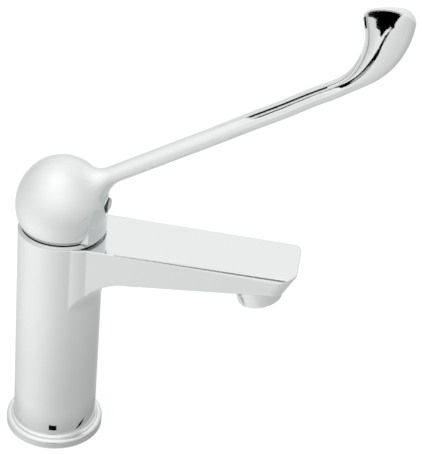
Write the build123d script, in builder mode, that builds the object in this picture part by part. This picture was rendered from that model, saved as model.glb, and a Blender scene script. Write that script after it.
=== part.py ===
from build123d import *

import math
import os

os.makedirs("parts", exist_ok=True)

# Frame: origin in the middle of the underside, +Z up, +X along the spout. Sizes in mm.

# Body casting
column_r = 23.0
body_foot_z = 2.6
foot_flare_out = 1.3
foot_flare_z = 5.7
foot_fillet_r = 1.3
spout_top_z = 130.2
spout_end_x = 127.6
spout_end_drop = 1.2
spout_nose_x = 121.8
spout_half_w = 19.2
spout_under_z = 109.1
spout_under_slope = 0.075
spout_root_r = 23.0
side_blend_r = 20.0
spout_corner_r = 9.0
edge_round_root = 0.4
edge_round_tip = 4.0
edge_round_from_x = 36.0

# Hollows of the body
body_wall = 4.0
hollow_top_z = 80.0
port_pad_r = 15.8
port_pad_z = 76.0
seat_z = 96.0
chamber_r = 18.2
chamber_top_z = 118.6
nut_thread_r = 19.3
nut_thread_top_z = 127.2
inlet_x = -6.0
inlet_y = 8.5
inlet_minor_r = 4.5
inlet_depth = 14.0
inlet_bore_r = 3.2
stud_x = 9.0
stud_minor_r = 3.4
stud_depth = 14.0
waterway_half_w = 11.0
waterway_top_z = 126.2
waterway_start_x = 14.2
waterway_start_z = 107.5
waterway_start_top = 115.2
waterway_rise_x = 22.5
waterway_bend_x = 30.0
waterway_bend_z = 113.8
waterway_flat_x = 36.0
waterway_floor = 3.0
waterway_step_x = 21.0
waterway_roof_x = 26.0
waterway_floor_short = 13.0
waterway_roof_short = 5.0
waterway_past_outlet = 2.8
waterway_end_low_z = 119.5
waterway_end_top_z = 123.0

# Base ring and its gasket
base_margin = 4.0
base_lift = 0.3
base_top_z = 5.6
base_round_r = 1.9
base_bore_step = 1.0
gasket_in_step = 0.2
gasket_margin = 1.2
gasket_h = 1.0

# Ball and lever: everything turns about the middle of the ball
pivot_z = 144.6
ball_r = 24.6
ball_top_rise = 26.9
ball_wall = 2.6
rim_level = -17.47
stem_lean = 10.0
lever_open = 20.0

# Collar ring
collar_gap = 0.35
collar_top_z = 131.6
collar_lip_w = 0.35
collar_ledge = 1.6

# Cartridge
cartridge_r = 18.1
housing_bore_r = 15.6
housing_relief_r = 17.2
housing_foot_z = 98.4
housing_roof_z = 120.0
housing_top_z = 123.0
nut_shoulder_z = 120.6
nut_shoulder_r = 16.4
nut_h = 5.0
ring_cord_r = 0.75
ring_groove_r = 16.7
ring_groove_h = 1.7
lower_ring_z = 102.8
upper_ring_z = 117.2
window_w = 11.0
window_z = 105.2
window_h = 7.2
base_plug_r = 15.5
base_plug_over = 0.8
base_foot_gap = 0.1
disc_r = 15.2
disc_h = 3.5
slide_disc_r = 10.0
slide_disc_h = 3.2
disc_chamfer = 0.4
port_ring_r = 7.0
port_angle = 27.0
port_r = 2.2
seal_r = 4.9
seal_h = 2.0
carrier_r = 9.5
carrier_flat = 8.5
carrier_h = 8.9
carrier_floor = 2.9

# Turning part of the cartridge
neck_r = 9.2
neck_top_z = 132.0
flange_r = 15.2
flange_z = 116.9
flange_top_z = 119.3
ear_r = 5.5
ear_out_y = 9.0
lug_w = 2.4
lug_half_x = 6.0
lug_foot_z = 111.0
slot_gap = 0.4
glide_edge = 0.4
pin_r = 2.0
pin_chamfer = 0.3

# Stem inside the lever
stem_w = 7.0
stem_eye_r = 5.0
arm_w = 4.6
arm_end_r = 2.8
arm_end_gap = 0.7
shank_w = 8.0
shank_foot = 6.2
shank_top = 21.0
shank_chamfer = 0.6
shank_end_gap = 0.2
stem_boss_r = 8.5
stem_boss_foot = 6.9
stem_boss_top = 24.4

# Front pad, screw and plug
pad_r = 24.2
pad_half_w = 16.3
pad_foot_z = 132.0
pad_spring_z = 147.0
pad_crown_z = 161.0
screw_z = 147.0
screw_rise = 21.5
screw_r = 2.5
screw_in = 8.0
screw_end = 19.45
screw_cup = 1.0
hex_r = 1.45
hex_depth = 3.0
screw_boss_r = 6.2
screw_boss_end = 15.0
plug_r = 4.9
plug_seat = 2.0
plug_dome = 1.5
plug_peg_r = 2.3
plug_peg_end = 5.0

# Rod of the lever
rod_r = 4.6
rod_rise = 31.3
rod_axis_z = 151.3
rod_end_x = 66.0
neck_blend_r = 15.0

# Spout outlet
outlet_x = 109.2
outlet_z = 105.3
outlet_tilt = 15.0
outlet_rim_r = 11.9
outlet_ring_r = 12.5
outlet_ring_h = 6.8
outlet_ring_edge = 1.2
outlet_rim_chamfer = 0.35
outlet_boss_r = 13.0
outlet_thread_r = 10.5
outlet_thread_end = 12.6
outlet_bore_r = 9.3
outlet_socket_end = 14.2
outlet_way_r = 7.5
insert_foot = 1.2
insert_floor = 2.0
insert_wall = 1.2
hole_r = 0.75
hole_step = 2.1

# Clearances
running_gap = 0.08
seat_gap = 0.05

# Sizes that follow from the others
foot_flare_r = column_r + foot_flare_out
hollow_r = column_r - body_wall
base_r = column_r + base_margin
base_bore_r = hollow_r + base_bore_step
gasket_in_r = base_bore_r + gasket_in_step
gasket_out_r = base_r - gasket_margin
collar_skirt_r = column_r - collar_ledge
base_top = housing_foot_z + ring_groove_h + base_plug_over
slide_z = base_top + disc_h
carrier_z = slide_z + slide_disc_h
carrier_pocket_floor = carrier_z + carrier_floor
arm_reach = pivot_z - carrier_pocket_floor - arm_end_gap - arm_end_r
slide_x = -arm_reach * math.sin(math.radians(stem_lean))


def sloped_plane(x, z, tilt):
    """Plane through (x, 0, z) whose normal leans by tilt degrees from +Z towards +X."""
    a = math.radians(tilt)
    return Plane(
        origin=(x, 0, z),
        x_dir=(math.cos(a), 0, -math.sin(a)),
        z_dir=(math.sin(a), 0, math.cos(a)),
    )


def underside(x):
    return spout_under_z + spout_under_slope * x


spout_end_top = spout_top_z - spout_end_drop


# Spout: its underside runs down into the column, and its sides blend into it
root_out_r = column_r + spout_root_r
root_top_z = underside(root_out_r)
side_blend_y = spout_half_w + side_blend_r
side_blend_x = math.sqrt((column_r + side_blend_r) ** 2 - side_blend_y**2)
side_touch = column_r / (column_r + side_blend_r)

with BuildPart() as spout_form:
    with BuildSketch(Plane.XZ):
        with BuildLine():
            Polyline(
                (0, spout_top_z),
                (spout_end_x, spout_top_z),
                (spout_end_x, spout_end_top),
                (spout_nose_x, underside(spout_nose_x)),
                (0, underside(0)),
                close=True,
            )
        make_face()
    extrude(amount=column_r, both=True)
    with BuildSketch(Plane.XZ):
        with BuildLine():
            CenterArc((root_out_r, root_top_z - spout_root_r), spout_root_r, 90, 90)
            Polyline(
                (column_r, root_top_z - spout_root_r),
                (hollow_r + 1, root_top_z - spout_root_r),
                (hollow_r + 1, root_top_z + 1),
                (root_out_r, root_top_z + 1),
                (root_out_r, root_top_z),
            )
        make_face()
    revolve(axis=Axis.Z)
    with BuildSketch(Plane.XY.offset(root_top_z - spout_root_r)):
        with BuildLine():
            for side in (1, -1):
                touch = (side_blend_x * side_touch, side * side_blend_y * side_touch)
                RadiusArc(touch, (side_blend_x, side * spout_half_w), side * side_blend_r)
                Line((side_blend_x, side * spout_half_w), (spout_end_x, side * spout_half_w))
                Line((0, side * spout_half_w), touch)
            Line((0, spout_half_w), (0, -spout_half_w))
            Line((spout_end_x, spout_half_w), (spout_end_x, -spout_half_w))
        make_face()
    extrude(amount=spout_top_z, mode=Mode.INTERSECT)

# One body casting: column and spout in one piece
outlet_plane = sloped_plane(outlet_x, outlet_z, -outlet_tilt)

with BuildPart() as body_casting:
    with BuildSketch(Plane.XY.offset(body_foot_z)):
        Circle(column_r)
    extrude(amount=spout_top_z - body_foot_z)
    add(spout_form.part)

    # the corners of the nose are round and lean back with it
    nose_lean = (spout_end_x - spout_nose_x) / (spout_end_top - underside(spout_nose_x))
    for side in (1, -1):
        for z in (underside(0), spout_end_top, spout_top_z + 1):
            end_x = spout_end_x - nose_lean * max(0, spout_end_top - z)
            x = end_x - spout_corner_r
            y = side * spout_half_w
            with BuildSketch(Plane.XY.offset(z)):
                with BuildLine():
                    CenterArc((x, y - side * spout_corner_r), spout_corner_r, 0, side * 90)
                    Polyline(
                        (x, y),
                        (x, y + side),
                        (end_x + 1, y + side),
                        (end_x + 1, y - side * spout_corner_r),
                        (end_x, y - side * spout_corner_r),
                    )
                make_face()
        loft(ruled=True, mode=Mode.SUBTRACT)

    # the long edges are sharp at the column and get rounder towards the tip
    for side in (1, -1):
        for up in (1, -1):
            from_x = edge_round_from_x if up > 0 else root_out_r
            for x, r in ((from_x, edge_round_root), (spout_end_x, edge_round_tip)):
                y = side * spout_half_w
                z = spout_top_z if up > 0 else underside(x)
                with BuildSketch(Plane(origin=(x, 0, 0), x_dir=(0, 1, 0), z_dir=(1, 0, 0))):
                    with BuildLine():
                        RadiusArc((y - side * r, z), (y, z - up * r), side * up * r)
                        Polyline(
                            (y, z - up * r),
                            (y + side, z - up * r),
                            (y + side, z + up),
                            (y - side * r, z + up),
                            (y - side * r, z),
                        )
                    make_face()
            loft(ruled=True, mode=Mode.SUBTRACT)

    # flare of the foot, which the base ring holds
    with BuildSketch(Plane.XZ):
        with BuildLine():
            Polyline(
                (column_r, foot_flare_z + foot_fillet_r),
                (column_r - 1, foot_flare_z + foot_fillet_r),
                (column_r - 1, body_foot_z),
                (foot_flare_r, body_foot_z),
                (foot_flare_r, foot_flare_z),
            )
            RadiusArc(
                (foot_flare_r, foot_flare_z),
                (column_r, foot_flare_z + foot_fillet_r),
                foot_fillet_r,
            )
        make_face()
    revolve(axis=Axis.Z)

    # boss of the outlet, leaning forwards
    with BuildSketch(outlet_plane.offset(outlet_ring_h)):
        Circle(outlet_boss_r)
    extrude(amount=outlet_socket_end - outlet_ring_h + 4)

    # hollow for the hoses, with a pad in its roof for the two inlets and the stud hole
    with BuildSketch(Plane.XY.offset(body_foot_z)):
        Circle(hollow_r)
    extrude(amount=hollow_top_z - body_foot_z, mode=Mode.SUBTRACT)
    with BuildSketch(Plane.XY.offset(port_pad_z)):
        Circle(port_pad_r)
    extrude(amount=hollow_top_z - port_pad_z)
    with BuildSketch(Plane.XY.offset(port_pad_z)):
        with Locations((inlet_x, inlet_y), (inlet_x, -inlet_y)):
            Circle(inlet_minor_r)
    extrude(amount=inlet_depth, mode=Mode.SUBTRACT)
    with BuildSketch(Plane.XY.offset(port_pad_z)):
        with Locations((inlet_x, inlet_y), (inlet_x, -inlet_y)):
            Circle(inlet_bore_r)
    extrude(amount=seat_z - port_pad_z, mode=Mode.SUBTRACT)
    with BuildSketch(Plane.XY.offset(port_pad_z)):
        with Locations((stud_x, 0)):
            Circle(stud_minor_r)
    extrude(amount=stud_depth, mode=Mode.SUBTRACT)

    # chamber of the cartridge, thread of its nut and bore of the collar ring
    with BuildSketch(Plane.XY.offset(seat_z)):
        Circle(chamber_r)
    extrude(amount=chamber_top_z - seat_z, mode=Mode.SUBTRACT)
    with BuildSketch(Plane.XY.offset(chamber_top_z)):
        Circle(nut_thread_r)
    extrude(amount=nut_thread_top_z - chamber_top_z, mode=Mode.SUBTRACT)
    with BuildSketch(Plane.XY.offset(nut_thread_top_z)):
        Circle(collar_skirt_r + seat_gap)
    extrude(amount=spout_top_z - nut_thread_top_z, mode=Mode.SUBTRACT)

    # waterway from the chamber to the outlet
    waterway_low_x = outlet_x - waterway_floor_short
    with BuildSketch(Plane.XZ):
        with BuildLine():
            Polyline(
                (waterway_start_x, waterway_start_z),
                (waterway_rise_x, waterway_start_z),
                (waterway_bend_x, waterway_bend_z),
                (waterway_flat_x, underside(waterway_flat_x) + waterway_floor),
                (waterway_low_x, underside(waterway_low_x) + waterway_floor),
                (outlet_x + waterway_past_outlet, waterway_end_low_z),
                (outlet_x + waterway_past_outlet, waterway_end_top_z),
                (outlet_x - waterway_roof_short, waterway_top_z),
                (waterway_roof_x, waterway_top_z),
                (waterway_step_x, waterway_start_top),
                (waterway_start_x, waterway_start_top),
                close=True,
            )
        make_face()
    extrude(amount=waterway_half_w, both=True, mode=Mode.SUBTRACT)
    with BuildSketch(outlet_plane.offset(outlet_ring_h)):
        Circle(outlet_thread_r + running_gap)
    extrude(amount=outlet_socket_end - outlet_ring_h, mode=Mode.SUBTRACT)
    with BuildSketch(outlet_plane.offset(outlet_socket_end)):
        Circle(outlet_way_r)
    extrude(amount=3, mode=Mode.SUBTRACT)

# Ring under the foot, and the gasket in its groove
with BuildPart() as base_ring:
    with BuildSketch(Plane.XZ):
        with BuildLine():
            Polyline(
                (base_r - base_round_r, base_top_z),
                (foot_flare_r + seat_gap, base_top_z),
                (foot_flare_r + seat_gap, body_foot_z),
                (base_bore_r, body_foot_z),
                (base_bore_r, base_lift),
                (base_r, base_lift),
                (base_r, base_top_z - base_round_r),
            )
            RadiusArc(
                (base_r, base_top_z - base_round_r),
                (base_r - base_round_r, base_top_z),
                -base_round_r,
            )
        make_face()
    revolve(axis=Axis.Z)
    with BuildSketch(Plane.XY):
        Circle(gasket_out_r + seat_gap)
        Circle(gasket_in_r, mode=Mode.SUBTRACT)
    extrude(amount=gasket_h, mode=Mode.SUBTRACT)

with BuildPart() as base_gasket:
    with BuildSketch(Plane.XY):
        Circle(gasket_out_r)
        Circle(gasket_in_r + seat_gap, mode=Mode.SUBTRACT)
    extrude(amount=gasket_h)

# Collar ring: its inside is a ball surface that the lever's ball turns in
collar_r = ball_r + collar_gap


def collar_inside(z):
    return math.sqrt(collar_r**2 - (pivot_z - z) ** 2)


with BuildPart() as collar_ring:
    with BuildSketch(Plane.XZ):
        with BuildLine():
            lip = (collar_inside(collar_top_z), collar_top_z)
            toe = (collar_inside(nut_thread_top_z), nut_thread_top_z)
            middle_z = (collar_top_z + nut_thread_top_z) / 2
            ThreePointArc(lip, (collar_inside(middle_z), middle_z), toe)
            Polyline(
                toe,
                (collar_skirt_r, nut_thread_top_z),
                (collar_skirt_r, spout_top_z),
                (column_r, spout_top_z),
                (lip[0] + collar_lip_w, collar_top_z),
                lip,
            )
        make_face()
    revolve(axis=Axis.Z)

# Cartridge: foot with the two ways in, and its seals
with BuildPart() as cartridge_base:
    with BuildSketch(Plane.XY.offset(seat_z + base_foot_gap)):
        Circle(cartridge_r)
    extrude(amount=housing_foot_z - seat_z - base_foot_gap)
    with BuildSketch(Plane.XY.offset(housing_foot_z)):
        Circle(base_plug_r)
    extrude(amount=base_top - housing_foot_z)
    with BuildSketch(Plane.XY.offset(seat_z)):
        with Locations((inlet_x, inlet_y), (inlet_x, -inlet_y)):
            Circle(seal_r + seat_gap)
    extrude(amount=seal_h, mode=Mode.SUBTRACT)
    with BuildSketch(Plane.XY.offset(seat_z)):
        with Locations((inlet_x, inlet_y), (inlet_x, -inlet_y)):
            Circle(port_r)
    extrude(amount=base_top - seat_z, mode=Mode.SUBTRACT)
    port_x = -port_ring_r * math.cos(math.radians(port_angle))
    port_y = port_ring_r * math.sin(math.radians(port_angle))
    with BuildSketch(Plane.XY.offset(base_top - port_r / 1.4)):
        for side in (1, -1):
            with Locations(((inlet_x + port_x) / 2, side * (inlet_y + port_y) / 2)):
                SlotCenterToCenter(inlet_y - port_y, 2 * port_r, rotation=90)
    extrude(amount=port_r, mode=Mode.SUBTRACT)

with BuildPart() as inlet_seals:
    with BuildSketch(Plane.XY.offset(seat_z)):
        with Locations((inlet_x, inlet_y), (inlet_x, -inlet_y)):
            Circle(seal_r)
            Circle(inlet_bore_r, mode=Mode.SUBTRACT)
    extrude(amount=seal_h)

# Cartridge: fixed disc with the two ports, and the disc that slides over them
with BuildPart() as fixed_disc:
    with BuildSketch(Plane.XY.offset(base_top)):
        Circle(disc_r)
        with Locations((port_x, port_y), (port_x, -port_y)):
            Circle(port_r, mode=Mode.SUBTRACT)
    extrude(amount=disc_h)

with BuildPart() as moving_disc:
    with BuildSketch(Plane.XY.offset(slide_z)):
        with Locations((slide_x, 0)):
            Circle(slide_disc_r)
    extrude(amount=slide_disc_h)
    chamfer(moving_disc.edges().group_by(Axis.Z)[-1], disc_chamfer)

with BuildPart() as disc_carrier:
    with BuildSketch(Plane.XY.offset(carrier_z)):
        with Locations((slide_x, 0)):
            Circle(carrier_r)
            Rectangle(2 * carrier_r, 2 * carrier_flat, mode=Mode.INTERSECT)
    extrude(amount=carrier_h)
    with BuildSketch(Plane.XY.offset(carrier_pocket_floor)):
        with Locations((slide_x, 0)):
            Rectangle(2 * (arm_end_r + running_gap), stem_w + 4 * running_gap)
    extrude(amount=carrier_h, mode=Mode.SUBTRACT)

# Cartridge: housing, its two O-rings and the nut that holds it down
with BuildPart() as cartridge_housing:
    with BuildSketch(Plane.XY.offset(housing_foot_z)):
        Circle(cartridge_r)
    extrude(amount=nut_shoulder_z - housing_foot_z)
    with BuildSketch(Plane.XY.offset(nut_shoulder_z)):
        Circle(nut_shoulder_r)
    extrude(amount=housing_top_z - nut_shoulder_z)
    with BuildSketch(Plane.XY.offset(housing_foot_z)):
        Circle(housing_bore_r)
    extrude(amount=housing_roof_z - housing_foot_z, mode=Mode.SUBTRACT)
    with BuildSketch(Plane.XY.offset(housing_roof_z)):
        Circle(neck_r + running_gap)
    extrude(amount=housing_top_z - housing_roof_z, mode=Mode.SUBTRACT)
    for z in (lower_ring_z, upper_ring_z):
        with BuildSketch(Plane.XY.offset(z - ring_groove_h / 2)):
            Circle(cartridge_r + 1)
            Circle(ring_groove_r, mode=Mode.SUBTRACT)
        extrude(amount=ring_groove_h, mode=Mode.SUBTRACT)
    with BuildSketch(Plane.XY.offset(lower_ring_z + ring_groove_h)):
        Circle(cartridge_r + 1)
        Circle(housing_relief_r, mode=Mode.SUBTRACT)
    extrude(amount=upper_ring_z - lower_ring_z - 2 * ring_groove_h, mode=Mode.SUBTRACT)
    with BuildSketch(Plane.XY.offset(window_z)):
        Rectangle(3 * cartridge_r, window_w)
        Rectangle(window_w, 3 * cartridge_r)
    extrude(amount=window_h, mode=Mode.SUBTRACT)

ring_major_r = chamber_r - ring_cord_r

with BuildPart() as lower_o_ring:
    with BuildSketch(Plane.XZ):
        with Locations((ring_major_r, lower_ring_z)):
            Rectangle(2 * ring_cord_r, 2 * ring_cord_r)
    revolve(axis=Axis.Z)

with BuildPart() as upper_o_ring:
    with BuildSketch(Plane.XZ):
        with Locations((ring_major_r, upper_ring_z)):
            Rectangle(2 * ring_cord_r, 2 * ring_cord_r)
    revolve(axis=Axis.Z)

with BuildPart() as cartridge_nut:
    with BuildSketch(Plane.XY.offset(nut_shoulder_z)):
        Circle(nut_thread_r - seat_gap)
        Circle(nut_shoulder_r + running_gap, mode=Mode.SUBTRACT)
    extrude(amount=nut_h)
    with BuildSketch(Plane.XY.offset(nut_shoulder_z + nut_h / 2)):
        Rectangle(3 * nut_thread_r, nut_h)
        Rectangle(nut_h, 3 * nut_thread_r)
    extrude(amount=nut_h, mode=Mode.SUBTRACT)

# Cartridge: turning part, with the slot that the arm swings in and two ears for the pin
lean = math.tan(math.radians(stem_lean))


def slot_half(z):
    return (pivot_z - z) * lean + arm_w / 2 + slot_gap


glide_h = housing_roof_z - flange_top_z - seat_gap

with BuildPart() as cartridge_rotor:
    with BuildSketch(Plane.XY.offset(flange_z)):
        Circle(flange_r)
    extrude(amount=flange_top_z - flange_z)
    with BuildSketch(Plane.XY.offset(flange_z)):
        Circle(neck_r)
    extrude(amount=neck_top_z - flange_z)
    with BuildSketch(Plane.XZ):
        with Locations((0, pivot_z)):
            Circle(ear_r)
        with Locations((0, (neck_top_z - 1 + pivot_z) / 2)):
            Rectangle(2 * ear_r, pivot_z - neck_top_z + 1)
    extrude(amount=ear_out_y, both=True)
    with BuildSketch(Plane.XY.offset(lug_foot_z)):
        for side in (1, -1):
            with Locations((0, side * (carrier_flat + running_gap + lug_w / 2))):
                Rectangle(2 * lug_half_x, lug_w)
    extrude(amount=flange_z - lug_foot_z)
    with BuildSketch(Plane.XZ):
        with BuildLine():
            Polyline(
                (slot_half(lug_foot_z), lug_foot_z),
                (slot_half(neck_top_z), neck_top_z),
                (slot_half(neck_top_z), pivot_z + 2 * ear_r),
                (-slot_half(neck_top_z), pivot_z + 2 * ear_r),
                (-slot_half(neck_top_z), neck_top_z),
                (-slot_half(lug_foot_z), lug_foot_z),
                close=True,
            )
        make_face()
    extrude(amount=stem_w / 2 + running_gap, both=True, mode=Mode.SUBTRACT)
    with BuildSketch(Plane.XY.offset(neck_top_z)):
        Rectangle(4 * ear_r, stem_w + 2 * running_gap)
    extrude(amount=2 * pivot_z, mode=Mode.SUBTRACT)
    with BuildSketch(Plane.XZ):
        with Locations((0, pivot_z)):
            Circle(pin_r)
    extrude(amount=2 * ear_out_y, both=True, mode=Mode.SUBTRACT)

with BuildPart() as pivot_pin:
    with BuildSketch(Plane.XZ):
        with Locations((0, pivot_z)):
            Circle(pin_r)
    extrude(amount=ear_out_y, both=True)
    chamfer(pivot_pin.edges().filter_by(GeomType.CIRCLE), pin_chamfer)

with BuildPart() as glide_ring:
    with BuildSketch(Plane.XY.offset(flange_top_z)):
        Circle(flange_r - glide_edge)
        Circle(neck_r + seat_gap, mode=Mode.SUBTRACT)
    extrude(amount=glide_h)

# Stem: eye on the pin, arm down to the sliding disc, square shank up into the lever
stem_axis = sloped_plane(0, pivot_z, stem_lean)
stem_side = Plane(origin=stem_axis.origin, x_dir=stem_axis.x_dir, z_dir=(0, -1, 0))

with BuildPart() as lever_stem:
    with BuildSketch(stem_side):
        Circle(stem_eye_r)
        with Locations((0, shank_foot / 2)):
            Rectangle(shank_w, shank_foot)
        with Locations((0, -arm_reach / 2)):
            Rectangle(arm_w, arm_reach)
        with Locations((0, -arm_reach)):
            Circle(arm_end_r)
    extrude(amount=stem_w / 2, both=True)
    with BuildSketch(stem_axis.offset(shank_foot)):
        Rectangle(shank_w, shank_w)
    extrude(amount=shank_top - shank_foot)
    shank_axis = Axis(stem_axis.origin, stem_axis.z_dir)
    chamfer(lever_stem.edges().group_by(shank_axis)[-1], shank_chamfer)
    with BuildSketch(stem_side):
        Circle(pin_r + running_gap)
    extrude(amount=stem_w, both=True, mode=Mode.SUBTRACT)

# Lever: hollow ball with the front pad, rod and paddle in one piece
screw_in_dir = Vector(
    -math.cos(math.radians(screw_rise)), 0, math.sin(math.radians(screw_rise))
)
screw_plane = Plane(origin=(pad_r, 0, screw_z), x_dir=(0, 1, 0), z_dir=screw_in_dir)
rise = math.radians(rod_rise)
rod_dir = Vector(math.cos(rise), 0, math.sin(rise))
rod_up = Vector(-math.sin(rise), 0, math.cos(rise))


def rod_point(x):
    return Vector(x, 0, rod_axis_z + x * math.tan(rise))


# Paddle: stations from the rod to the tip. Each has its point on the inner edge and on the
# outer edge (XZ), the half widths of the edge face, at the crease and at the belly, the share
# of the width where the crease lies, and how deep the side is hollowed beside the edge.
flat_rod_h = 8.7
flattening = [
    (rod_end_x, 0.0),
    (rod_end_x + 6, 0.02),
    (rod_end_x + 12, 0.2),
    (rod_end_x + 18, 0.5),
    (rod_end_x + 25, 0.85),
    (rod_end_x + 34, 1.0),
    (rod_end_x + 45, 1.0),
]
stations = [
    ((120.6, 230.2), (125.5, 223.1), 2.6, 4.2, 4.4, 0.40, 0.0),
    ((129.6, 235.5), (136.1, 229.5), 2.5, 4.1, 4.4, 0.40, 0.1),
    ((135.8, 239.7), (144.9, 235.5), 2.5, 3.9, 4.4, 0.37, 0.7),
    ((139.7, 244.2), (152.9, 241.2), 2.5, 3.8, 4.4, 0.36, 1.3),
    ((142.2, 249.5), (159.3, 248.2), 2.5, 3.7, 4.3, 0.37, 1.6),
    ((143.9, 255.5), (163.5, 255.6), 2.5, 3.7, 4.2, 0.39, 1.7),
    ((144.4, 262.2), (166.2, 263.8), 2.5, 3.6, 4.1, 0.42, 1.7),
    ((143.2, 269.2), (167.3, 272.2), 2.4, 3.5, 4.0, 0.53, 1.6),
    ((141.4, 276.4), (167.3, 280.6), 2.4, 3.4, 3.9, 0.72, 1.5),
    ((140.0, 283.0), (166.6, 288.6), 2.4, 3.3, 3.8, 0.85, 1.3),
]
strip_h = 0.9
strip_more_h = 0.7
step_h = 0.45
tip_cut_in_x = 110.0
tip_cut_out_x = 200.0
tip_cut_top_z = 300.0


def station_outline(h, edge_w, crease_w, belly_w, crease_at, hollow):
    """Side of the paddle from the edge face to the belly: half width and height of each corner."""
    crease_h = h * (1 - crease_at)
    belly_h = min(3.6, 0.36 * h)
    share = min(1.0, hollow)
    strip_at = h - strip_h - strip_more_h * share
    plain_w = edge_w + (crease_w - edge_w) * (h - strip_at) / (h - crease_h) + 0.3
    strip_w = plain_w + (edge_w + 0.1 - plain_w) * share
    step_w = strip_w - 0.65 * hollow
    step_at = strip_at - step_h
    plain_mid = (plain_w + crease_w) / 2 + 0.25
    dish_w = plain_mid + (step_w + 0.1 - plain_mid) * share
    corners = [(edge_w, h), (strip_w, strip_at), (step_w, step_at), (crease_w, crease_h)]
    corners.append((belly_w * 0.93, belly_h))
    mids = [
        ((edge_w + strip_w) / 2 + 0.05, (h + strip_at) / 2),
        ((strip_w + step_w) / 2 + 0.04, (strip_at + step_at) / 2),
        (dish_w, (step_at + crease_h) / 2),
        ((crease_w + belly_w) / 2 + 0.2, (crease_h + belly_h) / 2),
    ]
    return corners, mids, h


def round_outline(r):
    """The same corners round a circle of radius r."""

    def spot(a):
        return (r * math.cos(math.radians(a)), r + r * math.sin(math.radians(a)))

    corners = [spot(a) for a in (60, 48, 40, 8, -35)]
    mids = [spot(a) for a in (54, 44, 24, -13.5)]
    return corners, mids, 2 * r


def between(first, second, share):
    """The outline that lies the given share of the way from the first to the second."""

    def mix(a, b):
        return [(p[0] + (q[0] - p[0]) * share, p[1] + (q[1] - p[1]) * share) for p, q in zip(a, b)]

    top = first[2] + (second[2] - first[2]) * share
    return mix(first[0], second[0]), mix(first[1], second[1]), top


flat_outline = station_outline(flat_rod_h, 2.5, 4.2, 4.45, 0.42, 0.0)


def outline_face(plane, corners, mids, top):
    """Closed outline of ten edges; they stay ten where several share one circle."""
    edges = []
    for s in (1, -1):
        for start, middle, end in zip(corners, mids, corners[1:]):
            arc = [(s * p[0], p[1]) for p in (start, middle, end)]
            edges.append(Edge.make_three_point_arc(*arc))
    edge, belly = corners[0], corners[-1]
    edges.append(Edge.make_three_point_arc(belly, (0, 0), (-belly[0], belly[1])))
    if top > edge[1] + 0.01:
        edges.append(Edge.make_three_point_arc(edge, (0, top), (-edge[0], edge[1])))
    else:
        edges.append(Edge.make_line(edge, (-edge[0], edge[1])))
    return Face(plane.from_local_coords(Wire(edges)))


def across_rod(x, below):
    """Plane square to the rod at x, its origin the given distance under the rod's axis."""
    return Plane(origin=rod_point(x) - rod_up * below, x_dir=(0, 1, 0), z_dir=rod_dir)


with BuildPart() as paddle:
    outlines = []
    for x, share in flattening:
        shape = between(round_outline(rod_r), flat_outline, share)
        below = rod_r + (flat_rod_h / 2 - rod_r) * share
        outlines.append(outline_face(across_rod(x, below), *shape))
    for inner, outer, *widths in stations:
        low = Vector(outer[0], 0, outer[1])
        up = Vector(inner[0], 0, inner[1]) - low
        along = Vector(up.Z, 0, -up.X).normalized()
        plane = Plane(origin=low, x_dir=(0, 1, 0), z_dir=along)
        outlines.append(outline_face(plane, *station_outline(up.length, *widths)))
    loft(sections=outlines)
    # the tip: what stands above its top edge comes off
    with BuildSketch(Plane.XZ):
        with BuildLine():
            tip_edge = Spline(
                (138.6, 264.0),
                (141.6, 272.4),
                (144.4, 276.6),
                (149.0, 278.4),
                (154.0, 279.1),
                (160.5, 278.7),
                (165.0, 276.6),
                (167.6, 272.9),
                (169.6, 264.0),
            )
            Polyline(
                tip_edge @ 1,
                (tip_cut_out_x, (tip_edge @ 1).Y),
                (tip_cut_out_x, tip_cut_top_z),
                (tip_cut_in_x, tip_cut_top_z),
                (tip_cut_in_x, (tip_edge @ 0).Y),
                tip_edge @ 0,
            )
        make_face()
    extrude(amount=20, both=True, mode=Mode.SUBTRACT)


def ball_profile(r, top_rise):
    """Half outline of a ball about the pivot: round below, r wide and a little taller above."""
    with BuildSketch(Plane.YZ) as half:
        with BuildLine():
            CenterArc((0, pivot_z), r, -90, -90)
            cap_r = 0.87 * top_rise
            side_r = (r**2 + (top_rise - cap_r) ** 2 - cap_r**2) / (2 * (r - cap_r))
            join = math.atan2(top_rise - cap_r, side_r - r)
            join_at = (
                side_r - r - side_r * math.cos(join),
                pivot_z + side_r * math.sin(join),
            )
            RadiusArc((-r, pivot_z), join_at, side_r)
            RadiusArc(join_at, (0, pivot_z + top_rise), cap_r)
            Line((0, pivot_z + top_rise), (0, pivot_z - r))
        make_face()
    return half.sketch


with BuildPart() as front_pad:
    with BuildSketch(Plane.YZ):
        with BuildLine():
            EllipticalCenterArc(
                (0, pad_spring_z), pad_half_w, pad_crown_z - pad_spring_z, 0, arc_size=180
            )
            Polyline(
                (-pad_half_w, pad_spring_z),
                (-pad_half_w, pad_foot_z),
                (pad_half_w, pad_foot_z),
                (pad_half_w, pad_spring_z),
            )
        make_face()
    extrude(amount=2 * pad_r)
    with BuildSketch(Plane.XY.offset(pad_foot_z)):
        Circle(pad_r)
    extrude(amount=pad_crown_z, mode=Mode.INTERSECT)

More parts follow.
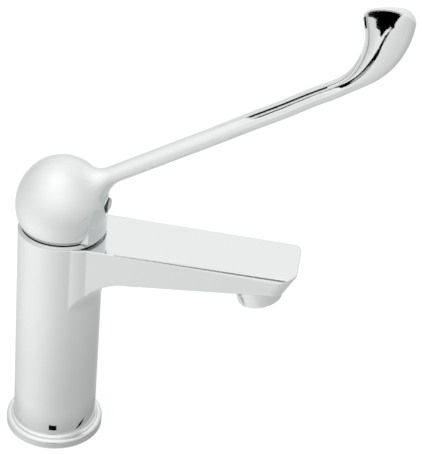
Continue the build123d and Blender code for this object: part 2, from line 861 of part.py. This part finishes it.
with BuildPart() as lever_handle:
    add(ball_profile(ball_r, ball_top_rise))
    revolve(axis=Axis.Z)
    # straight root of the rod, blended into the ball
    with BuildSketch(Plane(origin=rod_point(ball_r / 3), x_dir=(0, 1, 0), z_dir=rod_dir)):
        Circle(rod_r)
    extrude(amount=(rod_end_x - ball_r / 3) / math.cos(rise))
    neck_edges = [
        e
        for e in lever_handle.edges()
        if ball_r / 2 < e.center().X < ball_r and e.center().Z > pivot_z + 2 * rod_r
    ]
    fillet(neck_edges, neck_blend_r)
    # the pad stands proud above and below, and takes a little off the ball between
    with BuildPart(mode=Mode.PRIVATE) as waist:
        with BuildSketch(Plane.YZ.offset(pad_r / 2)):
            with Locations((0, pivot_z)):
                Rectangle(2 * pad_half_w, ball_r / 2)
        extrude(amount=pad_r)
        with BuildSketch(Plane.XY.offset(pad_foot_z)):
            Circle(pad_r)
        extrude(amount=pad_foot_z, mode=Mode.SUBTRACT)
    add(waist.part, mode=Mode.SUBTRACT)
    add(front_pad.part)
    add(paddle.part)

    # inside: hollow ball, cut off square to the stem, with the boss for the stem's shank
    with BuildPart(mode=Mode.PRIVATE) as hollow:
        add(ball_profile(ball_r - ball_wall, ball_top_rise - ball_wall))
        revolve(axis=Axis.Z)
    add(hollow.part, mode=Mode.SUBTRACT)
    with BuildSketch(stem_axis.offset(rim_level)):
        Circle(2 * ball_r)
    extrude(amount=-ball_r, mode=Mode.SUBTRACT)
    with BuildSketch(stem_axis.offset(stem_boss_foot)):
        Circle(stem_boss_r)
    extrude(amount=stem_boss_top - stem_boss_foot)
    with BuildSketch(screw_plane.offset(plug_seat)):
        Circle(screw_boss_r)
    extrude(amount=screw_boss_end - plug_seat)
    with BuildSketch(stem_axis):
        Rectangle(shank_w + 2 * seat_gap, shank_w + 2 * seat_gap)
    extrude(amount=shank_top + shank_end_gap, mode=Mode.SUBTRACT)
    with BuildSketch(screw_plane.offset(-2 * plug_seat)):
        Circle(plug_r + seat_gap)
    extrude(amount=3 * plug_seat, mode=Mode.SUBTRACT)
    with BuildSketch(screw_plane):
        Circle(screw_r + seat_gap)
    extrude(amount=screw_end, mode=Mode.SUBTRACT)

with BuildPart() as grub_screw:
    with BuildSketch(screw_plane.offset(screw_in)):
        Circle(screw_r)
    extrude(amount=screw_end - screw_in)
    screw_axis = Axis(screw_plane.origin, screw_plane.z_dir)
    chamfer(grub_screw.edges().group_by(screw_axis)[-1], screw_cup)
    with BuildSketch(screw_plane.offset(screw_in)):
        RegularPolygon(radius=hex_r, side_count=6)
    extrude(amount=hex_depth, mode=Mode.SUBTRACT)

with BuildPart() as indicator_plug:
    with BuildSketch(Plane(origin=screw_plane.origin, x_dir=(0, 1, 0), z_dir=screw_plane.z_dir)):
        Circle(plug_r)
    extrude(amount=plug_seat)
    with BuildSketch(screw_plane):
        Circle(plug_peg_r)
    extrude(amount=plug_peg_end)
    with BuildPart(mode=Mode.PRIVATE) as dome:
        with BuildSketch(Plane(origin=screw_plane.origin, x_dir=-screw_plane.z_dir, z_dir=(0, 1, 0))):
            with BuildLine():
                ThreePointArc(
                    (0, plug_r), (plug_dome * 0.74, plug_r * 0.52), (plug_dome, 0)
                )
                Polyline((plug_dome, 0), (0, 0), (0, plug_r))
            make_face()
        revolve(axis=screw_axis)
    add(dome.part)

# Outlet: screwed-in housing with its ring, insert with the water holes, and gasket
with BuildPart() as aerator_housing:
    with BuildSketch(outlet_plane):
        Circle(outlet_rim_r)
    with BuildSketch(outlet_plane.offset(outlet_ring_h - outlet_ring_edge)):
        Circle(outlet_ring_r)
    loft(ruled=True)
    with BuildSketch(outlet_plane.offset(outlet_ring_h - outlet_ring_edge)):
        Circle(outlet_ring_r)
    extrude(amount=outlet_ring_edge)
    with BuildSketch(outlet_plane):
        Circle(outlet_thread_r)
    extrude(amount=outlet_thread_end)
    with BuildSketch(outlet_plane):
        Circle(outlet_bore_r + seat_gap)
    extrude(amount=outlet_thread_end, mode=Mode.SUBTRACT)
    rim_edges = aerator_housing.edges().filter_by(GeomType.CIRCLE)
    outlet_axis = Axis(outlet_plane.origin, outlet_plane.z_dir)
    chamfer(rim_edges.group_by(outlet_axis)[0], outlet_rim_chamfer)

with BuildPart() as aerator_insert:
    with BuildSketch(outlet_plane.offset(insert_foot)):
        Circle(outlet_bore_r)
    extrude(amount=outlet_thread_end - insert_foot)
    with BuildSketch(outlet_plane.offset(insert_foot)):
        with HexLocations(hole_step / 2, 7, 7):
            Circle(hole_r)
        Circle(outlet_bore_r - insert_wall, mode=Mode.INTERSECT)
    extrude(amount=insert_floor + 1, mode=Mode.SUBTRACT)
    with BuildSketch(outlet_plane.offset(insert_foot + insert_floor)):
        Circle(outlet_bore_r - insert_wall)
    extrude(amount=outlet_thread_end, mode=Mode.SUBTRACT)

with BuildPart() as aerator_gasket:
    with BuildSketch(outlet_plane.offset(outlet_thread_end)):
        Circle(outlet_thread_r)
        Circle(outlet_way_r, mode=Mode.SUBTRACT)
    extrude(amount=outlet_socket_end - outlet_thread_end)

# Write every piece under its own name
pieces = {
    "body_casting": body_casting,
    "base_ring": base_ring,
    "base_gasket": base_gasket,
    "collar_ring": collar_ring,
    "cartridge_base": cartridge_base,
    "inlet_seals": inlet_seals,
    "fixed_disc": fixed_disc,
    "moving_disc": moving_disc,
    "disc_carrier": disc_carrier,
    "cartridge_housing": cartridge_housing,
    "lower_o_ring": lower_o_ring,
    "upper_o_ring": upper_o_ring,
    "cartridge_nut": cartridge_nut,
    "cartridge_rotor": cartridge_rotor,
    "pivot_pin": pivot_pin,
    "glide_ring": glide_ring,
    "lever_stem": lever_stem,
    "lever_handle": lever_handle,
    "grub_screw": grub_screw,
    "indicator_plug": indicator_plug,
    "aerator_housing": aerator_housing,
    "aerator_insert": aerator_insert,
    "aerator_gasket": aerator_gasket,
}
for name, piece in pieces.items():
    piece.part.label = name
    export_step(piece.part, f"parts/{name}.step")
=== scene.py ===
import math

import bpy
from mathutils import Matrix, Vector

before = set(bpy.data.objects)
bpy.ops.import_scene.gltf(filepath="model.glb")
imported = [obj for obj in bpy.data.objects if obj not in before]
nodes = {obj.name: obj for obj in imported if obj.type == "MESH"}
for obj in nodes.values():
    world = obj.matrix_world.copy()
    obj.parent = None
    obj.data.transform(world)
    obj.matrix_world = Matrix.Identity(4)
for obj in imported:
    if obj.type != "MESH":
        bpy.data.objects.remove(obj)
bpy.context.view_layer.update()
scene = bpy.context.scene
scene.view_settings.view_transform = "Standard"

# Camera at the photograph's place, tilt and lens
camera_place = Vector((0.1430, -0.6881, 0.5772))
camera_right = Vector((0.9863, 0.1429, 0.0821)).normalized()
camera_up = Vector((-0.1451, 0.5177, 0.8431)).normalized()
camera_back = camera_right.cross(camera_up)
camera_turn = Matrix((camera_right, camera_up, camera_back)).transposed().to_4x4()
camera_data = bpy.data.cameras.new("camera")
camera_data.sensor_width = 36.0
camera_data.sensor_fit = "AUTO"
camera_data.lens = 123.57
camera_data.clip_start = 0.01
camera_data.clip_end = 50.0
camera = bpy.data.objects.new("camera", camera_data)
camera.matrix_world = Matrix.Translation(camera_place) @ camera_turn
scene.collection.objects.link(camera)
scene.camera = camera


# Materials are written as sums and products of values that vary over a piece
class Value:
    """An output of a node. Arithmetic on it adds the Math nodes."""

    def __init__(self, graph, socket):
        self.graph = graph
        self.socket = socket

    def math(self, operation, first, second=None):
        sockets = {0: first}
        if second is not None:
            sockets[1] = second
        return self.graph.node("Math", {"operation": operation}, sockets)

    def __add__(self, other):
        return self.math("ADD", self, other)

    def __sub__(self, other):
        return self.math("SUBTRACT", self, other)

    def __rsub__(self, other):
        return self.math("SUBTRACT", other, self)

    def __mul__(self, other):
        return self.math("MULTIPLY", self, other)

    __radd__ = __add__
    __rmul__ = __mul__

    def root(self):
        return self.math("SQRT", self)

    def larger(self, other):
        return self.math("MAXIMUM", self, other)

    def ramp(self, low, high):
        """0 up to low, 1 from high on, smooth between."""
        sockets = {"Value": self, "From Min": low, "From Max": high}
        return self.graph.node("MapRange", {"interpolation_type": "SMOOTHSTEP"}, sockets)


class Graph:
    """The nodes of one material or of the world."""

    def __init__(self, owner):
        owner.use_nodes = True
        self.tree = owner.node_tree
        self.tree.nodes.clear()

    def put(self, socket, value):
        """Links a value to a socket or sets it there; a colour gets its alpha."""
        if isinstance(value, Value):
            self.tree.links.new(value.socket, socket)
        elif socket.type == "RGBA":
            socket.default_value = (*value, 1.0)
        else:
            socket.default_value = value

    def node(self, kind, settings=None, sockets=None, out=0):
        """A node with its settings and then its sockets; gives one of its outputs."""
        node = self.tree.nodes.new("ShaderNode" + kind)
        for name, value in (settings or {}).items():
            setattr(node, name, value)
        for name, value in (sockets or {}).items():
            self.put(node.inputs[name], value)
        return Value(self, node.outputs[out]) if len(node.outputs) else None

    def noise(self, grain, detail):
        place = self.node("TexCoord", out="Object")
        return self.node("TexNoise", {}, {"Vector": place, "Scale": grain, "Detail": detail}, "Fac")

    def blend(self, share, first, second):
        """A colour between two, by a share that varies."""
        return self.node("Mix", {"data_type": "RGBA"}, {0: share, 6: first, 7: second}, 2)

    def split(self, vector):
        """The three numbers of a vector."""
        node = self.node("SeparateXYZ", {}, {0: vector}).socket.node
        return [Value(self, out) for out in node.outputs]

    def glow(self, tone, strength=1.0):
        return self.node("Emission", {}, {"Color": (tone, tone, tone), "Strength": strength})

    def cover(self, share, under, over):
        """One shader over another, by a share."""
        return self.node("MixShader", {}, {0: share, 1: under, 2: over})

    def finish(self, shader, kind="OutputMaterial"):
        self.node(kind, {}, {"Surface": shader})


def surface(
    name, dark, light, grain, rough, rough_span, relief, relief_grain,
    edge=0.0003, metallic=0.0, painted_shade_where=None,
):
    """
    A finish whose colour, roughness and relief vary a little over the piece.
    Its edges look rounded by edge; the last argument gives where black shade is painted on it.
    """
    material = bpy.data.materials.new(name)
    graph = Graph(material)
    colour = graph.blend(graph.noise(grain, 3.0), dark, light)
    # painted shade: black where the given mask says
    if painted_shade_where:
        colour = graph.blend(painted_shade_where(graph), colour, (0.02, 0.02, 0.021))
    smudges = graph.noise(grain * 3.1, 5.0) * rough_span + (rough - rough_span / 2)
    normal = graph.node(
        "Bump",
        {},
        {
            "Strength": relief,
            "Distance": 0.0002,
            "Height": graph.noise(relief_grain, 4.0),
            "Normal": graph.node("Bevel", {"samples": 6}, {"Radius": edge}),
        },
    )
    sockets = {"Base Color": colour, "Roughness": smudges, "Normal": normal, "Metallic": metallic}
    graph.finish(graph.node("BsdfPrincipled", {}, sockets))
    return material


# Chrome plate: the casting's edges are the roundest; the collar's copy of the plate is darker, which
# is painted shade under the lever's ball
def plated(name, dark, light, edge):
    return surface(name, dark, light, 14.0, 0.055, 0.02, 0.04, 22.0, edge, metallic=1.0)


bright_dark = (0.655, 0.672, 0.672)
bright_light = (0.690, 0.704, 0.702)
chrome = plated("polished_chrome", bright_dark, bright_light, 0.0008)
body_chrome = plated("body_chrome", bright_dark, bright_light, 0.0014)
# the same chrome made darker for the collar: painted shade
collar_chrome_painted_shade = plated("collar_chrome_painted_shade", (0.48, 0.49, 0.49), (0.52, 0.53, 0.53), 0.0004)


# Plug over the fixing screw: painted shade, black in the gap where it leaves the lever's front pad
pad_x = 0.0242
gap_inner = 0.0006
gap_outer = 0.0010


def painted_gap_shade(graph):
    x, y, z = graph.split(graph.node("TexCoord", out="Object"))
    return 1 - (x - pad_x).ramp(gap_inner, gap_outer)


plug_grey = surface(
    "plug_grey", (0.50, 0.51, 0.515), (0.58, 0.59, 0.595), 60.0, 0.3, 0.08, 0.2, 800.0,
    painted_shade_where=painted_gap_shade,
)

# Finishes of the pieces inside
rubber = surface(
    "black_rubber", (0.022, 0.022, 0.023), (0.04, 0.04, 0.042), 90.0, 0.62, 0.2, 0.5, 900.0
)
brass = surface(
    "machined_brass", (0.74, 0.56, 0.27), (0.82, 0.66, 0.36), 60.0, 0.3, 0.12, 0.25, 1400.0,
    metallic=1.0,
)
white_plastic = surface(
    "white_acetal", (0.80, 0.80, 0.77), (0.86, 0.86, 0.84), 40.0, 0.42, 0.1, 0.2, 700.0
)
natural_plastic = surface(
    "natural_plastic", (0.72, 0.71, 0.66), (0.79, 0.78, 0.74), 50.0, 0.36, 0.1, 0.2, 600.0
)
grey_plastic = surface(
    "grey_acetal", (0.42, 0.43, 0.45), (0.48, 0.49, 0.51), 45.0, 0.45, 0.1, 0.25, 700.0
)
ceramic = surface(
    "lapped_ceramic", (0.86, 0.85, 0.81), (0.92, 0.91, 0.88), 70.0, 0.16, 0.06, 0.08, 1500.0
)
steel = surface(
    "turned_steel", (0.56, 0.56, 0.57), (0.64, 0.64, 0.65), 80.0, 0.28, 0.1, 0.3, 1600.0,
    metallic=1.0,
)

finishes = (
    (chrome, ("base_ring", "lever_handle", "aerator_housing")),
    (body_chrome, ("body_casting",)),
    (collar_chrome_painted_shade, ("collar_ring",)),
    (plug_grey, ("indicator_plug",)),
    (rubber, ("base_gasket", "inlet_seals", "lower_o_ring", "upper_o_ring", "aerator_gasket")),
    (brass, ("cartridge_nut", "lever_stem")),
    (white_plastic, ("cartridge_housing", "cartridge_base", "cartridge_rotor")),
    (natural_plastic, ("glide_ring",)),
    (grey_plastic, ("disc_carrier", "aerator_insert")),
    (ceramic, ("fixed_disc", "moving_disc")),
    (steel, ("pivot_pin", "grub_screw")),
)
for finish, names in finishes:
    for name in names:
        slots = nodes[name].data.materials
        for place in range(len(slots)):
            slots[place] = finish


# Studio cards, each given by its corners
def studio_card(name, corners, faces, material):
    mesh = bpy.data.meshes.new(name)
    mesh.from_pydata(corners, [], faces)
    mesh.materials.append(material)
    card = bpy.data.objects.new(name, mesh)
    scene.collection.objects.link(card)
    return card


def square(half, height):
    """Corners of a level square round the upright axis."""
    return [(-half, -half, height), (half, -half, height), (half, half, height), (-half, half, height)]


def only_in_reflections(card):
    card.visible_camera = False
    card.visible_diffuse = False
    card.visible_shadow = False
    card.visible_transmission = False


# Pale floor: part lit, part glowing, so that it looks white and keeps the shadow
floor_glow = 1.12
floor_glow_share = 0.72
floor_material = bpy.data.materials.new("floor")
graph = Graph(floor_material)
seen = graph.node("LightPath", out="Is Camera Ray")
through = graph.node("LightPath", out="Is Transmission Ray")
lit = graph.node("BsdfDiffuse", {}, {"Color": (0.9, 0.9, 0.9)})
share = seen.larger(through) * floor_glow_share
graph.finish(graph.cover(share, lit, graph.glow(1.0, floor_glow)))
floor = studio_card("floor", square(4.0, 0.0), [(0, 1, 2, 3)], floor_material)
floor.visible_glossy = False


# Dark cards that give the chrome its black lines
def dark_card(name, corners, faces, reach=0.08, tone=0.0):
    """It shows only in what stands closer to it than its reach."""
    material = bpy.data.materials.new(name)
    graph = Graph(material)
    close = 1 - graph.node("LightPath", out="Ray Length").ramp(reach * 0.94, reach)
    clear = graph.node("BsdfTransparent")
    graph.finish(graph.cover(close, clear, graph.glow(1.0, tone)))
    only_in_reflections(studio_card(name, corners, faces, material))


# one rises steeply over the lever and darkens the paddle's hollow and the rod's top
lean = math.radians(55)
lever_card_up = Vector((math.cos(lean), 0, math.sin(lean)))
lever_card_foot = Vector((0.0093, -0.012, 0.1639))
lever_card_low = 0.09
lever_card_high = 0.27
lever_card_half = 0.045
lever_card_ends = (
    (lever_card_low, -lever_card_half),
    (lever_card_low, lever_card_half),
    (lever_card_high, lever_card_half),
    (lever_card_high, -lever_card_half),
)
dark_card(
    "lever_card",
    [lever_card_foot + lever_card_up * up + Vector((0, aside, 0)) for up, aside in lever_card_ends],
    [(0, 1, 2, 3)],
    reach=0.106,
)

# one stands in front of the paddle's tip
tip_y = -0.03
tip_outline = ((0.124, 0.252), (0.124, 0.275), (0.1425, 0.275), (0.1495, 0.263), (0.145, 0.2575))
dark_card("tip_card", [(x, tip_y, z) for x, z in tip_outline], [(0, 1, 2, 3, 4)])

# a thin ribbon runs behind the lever, from the middle of the rod up to the paddle
ribbon_line = ((0.080, 0.2185), (0.095, 0.2275), (0.110, 0.2367))
ribbon_corners = [(x - 0.0009, 0.0165, z + 0.0015) for x, z in ribbon_line]
ribbon_corners += [(x + 0.0009, 0.0195, z - 0.0015) for x, z in ribbon_line]
dark_card("rod_ribbon", ribbon_corners, [(0, 1, 4, 3), (1, 2, 5, 4)])

# a grey strip runs along the spout's near edge
dark_card(
    "edge_strip",
    [
        (0.030, -0.035, 0.1370),
        (0.126, -0.033, 0.1390),
        (0.126, -0.025, 0.1445),
        (0.030, -0.022, 0.1455),
    ],
    [(0, 1, 2, 3)],
    reach=0.024,
    tone=0.3,
)

# two small patches lie on the floor close to the foot
patch_z = 0.0006
patch_outlines = {
    "foot_patch": ((0.001, -0.039), (0.011, -0.037), (0.010, -0.033), (0.001, -0.0345)),
    "foot_streak": ((0.0248, -0.0194), (0.031, -0.0155), (0.036, -0.0072), (0.032, -0.0105)),
}
for name, outline in patch_outlines.items():
    dark_card(name, [(x, y, patch_z) for x, y in outline], [(0, 1, 2, 3)])

# Shade round the foot, in reflections only
shade_material = bpy.data.materials.new("foot_shade")
graph = Graph(shade_material)
x, y, z = graph.split(graph.node("NewGeometry", out="Position"))
away = (x * x + y * y).root()
shade = 0.26 - 0.16 * away.ramp(0.03, 0.05) - 0.10 * away.ramp(0.05, 0.16)
graph.finish(graph.cover(shade, graph.node("BsdfTransparent"), graph.glow(0.0)))
foot_shade = studio_card("foot_shade", square(0.25, 0.0004), [(0, 1, 2, 3)], shade_material)
only_in_reflections(foot_shade)

# Surroundings in the chrome: brightest above and on the left, darkest low on the right
world = bpy.data.worlds.new("surroundings")
scene.world = world
graph = Graph(world)
x, y, z = graph.split(graph.node("TexCoord", out="Generated"))
upright = 0.14 * z + 0.2 * z * z + 0.34 * y * y * z
sideways = 0.17 * x * z - 0.1 * x - 0.28 * x * z * z
depth = 0.08 * y * z - 0.14 * y + 0.08 * x * y
high_left = 0.07 * (0.97 * z - 0.13 * x - 0.2 * y).ramp(0.86, 1.0)
behind = 0.14 * y.ramp(0.7, 1.0)
mirrored_tone = 0.965 + upright + sideways + depth + high_left + behind
seen = graph.node("LightPath", out="Is Camera Ray")
mirrored = graph.node("LightPath", out="Is Glossy Ray")
elsewhere = 0.8 - 0.8 * (seen + mirrored)
strength = seen + mirrored * mirrored_tone + elsewhere
background = graph.node("Background", {}, {"Color": (1.0, 1.0, 1.0), "Strength": strength})
graph.finish(background, "OutputWorld")

# One soft lamp above, on the left
lamp_place = Vector((-0.35, -0.5, 1.5))
lamp_target = Vector((0.05, 0, 0.1))
lamp_data = bpy.data.lights.new("soft_box", "AREA")
lamp_data.shape = "RECTANGLE"
lamp_data.size = 1.2
lamp_data.size_y = 1.2
lamp_data.energy = 6.0
lamp = bpy.data.objects.new("soft_box", lamp_data)
lamp.location = lamp_place
lamp.rotation_euler = (lamp_target - lamp_place).to_track_quat("-Z", "Y").to_euler()
lamp.visible_glossy = False
scene.collection.objects.link(lamp)
